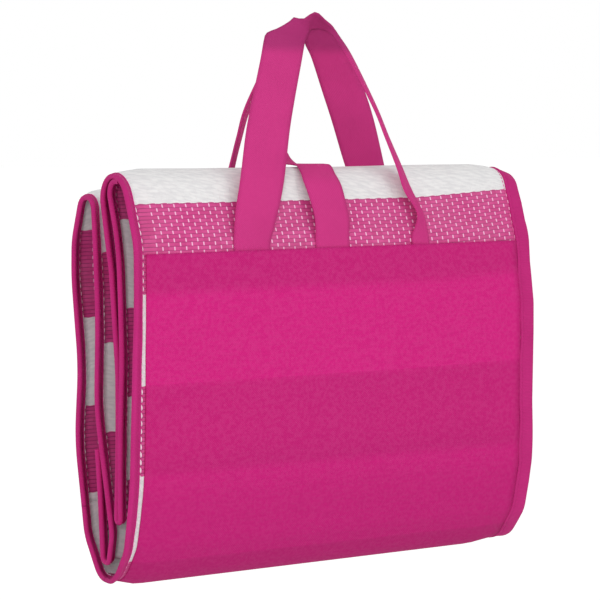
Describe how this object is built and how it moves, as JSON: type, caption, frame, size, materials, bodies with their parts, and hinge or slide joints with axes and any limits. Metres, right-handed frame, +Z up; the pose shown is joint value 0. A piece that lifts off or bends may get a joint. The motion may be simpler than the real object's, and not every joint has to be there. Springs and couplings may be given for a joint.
{
  "type": "folding mat",
  "caption": "Woven carry mat with bound edges, folded in half and hung by two webbing handles, with a carry panel and a closing strap.",
  "frame": {"origin": "the grip, where a hand or hook holds the gathered handles", "axes": "X along the mat's width with the left end at -X, -Y towards the front of the folded pack, +Z up"},
  "size_m": [0.5, 0.1563, 0.5825],
  "materials": {
    "weave": "woven polypropylene tape, cross stripes of magenta and white, slight sheen",
    "tape": "matte binding tape",
    "panel": "matte non-woven with a fine embossed grid",
    "webbing": "matte non-woven webbing",
    "hook": "hook tape",
    "loop": "loop tape"
  },
  "bodies": {
    "front_half": {"mat_front": "weave", "binding_left_front": "tape", "binding_right_front": "tape", "end_binding_front": "tape", "carry_panel_front": "panel"},
    "base": {"mat_base": "weave", "binding_left_base": "tape", "binding_right_base": "tape", "carry_panel_base": "panel"},
    "back_half": {"mat_back": "weave", "binding_left_back": "tape", "binding_right_back": "tape", "end_binding_back": "tape", "carry_panel_back": "panel", "loop_patch": "loop"},
    "front_handle": {"front_handle": "webbing"},
    "back_handle": {"back_handle": "webbing"},
    "closing_strap": {"closing_strap": "webbing", "hook_patch": "hook"}
  },
  "joints": [
    {"name": "front_bottom_fold", "type": "hinge", "parent": "front_half", "child": "base", "pos_m": [0, -0.04146, -0.54089], "axis": [-1, 0, 0], "range_deg": [0, 90]},
    {"name": "back_bottom_fold", "type": "hinge", "parent": "base", "child": "back_half", "pos_m": [0, 0.04386, -0.54089], "axis": [-1, 0, 0], "range_deg": [0, 90]},
    {"name": "front_handle_swing", "type": "hinge", "parent": "front_half", "child": "front_handle", "pos_m": [0, -0.0715, -0.2217], "axis": [1, 0, 0], "range_deg": [0, 175]},
    {"name": "back_handle_swing", "type": "hinge", "parent": "back_half", "child": "back_handle", "pos_m": [0, 0.0845, -0.2217], "axis": [-1, 0, 0], "range_deg": [0, 175]},
    {"name": "closing_strap_swing", "type": "hinge", "parent": "front_half", "child": "closing_strap", "pos_m": [0, -0.0715, -0.2217], "axis": [1, 0, 0], "range_deg": [0, 165]}
  ],
  "couplings": [
    {"joint": "back_bottom_fold", "follows": "front_bottom_fold", "ratio": 1}
  ]
}
